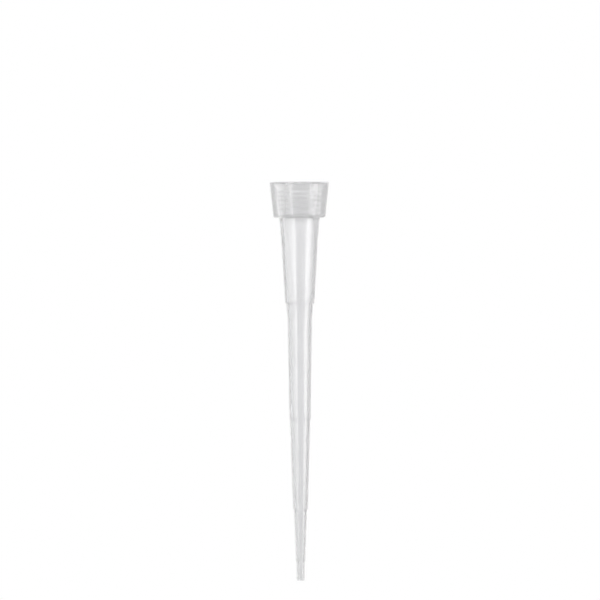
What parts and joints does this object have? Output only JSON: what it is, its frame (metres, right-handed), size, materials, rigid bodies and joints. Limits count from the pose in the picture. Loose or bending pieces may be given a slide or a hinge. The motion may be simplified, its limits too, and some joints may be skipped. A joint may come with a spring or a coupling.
{
  "type": "pipette tip",
  "caption": "Slender translucent pipette tip: a wide collar with sealing rings inside its mouth, and a stepped body that tapers to a fine orifice.",
  "frame": {"origin": "on the axis, at the middle of the lowest sealing ring in the socket, where the pipettor's nozzle seats", "axes": "+Z along the tip's axis, out of its mouth towards the pipettor; the orifice is at the -Z end"},
  "size_m": [0.007, 0.007, 0.046],
  "materials": {
    "polypropylene": "translucent natural polypropylene, satin gloss"
  },
  "bodies": {
    "root": {"tip": "polypropylene"}
  },
  "joints": []
}
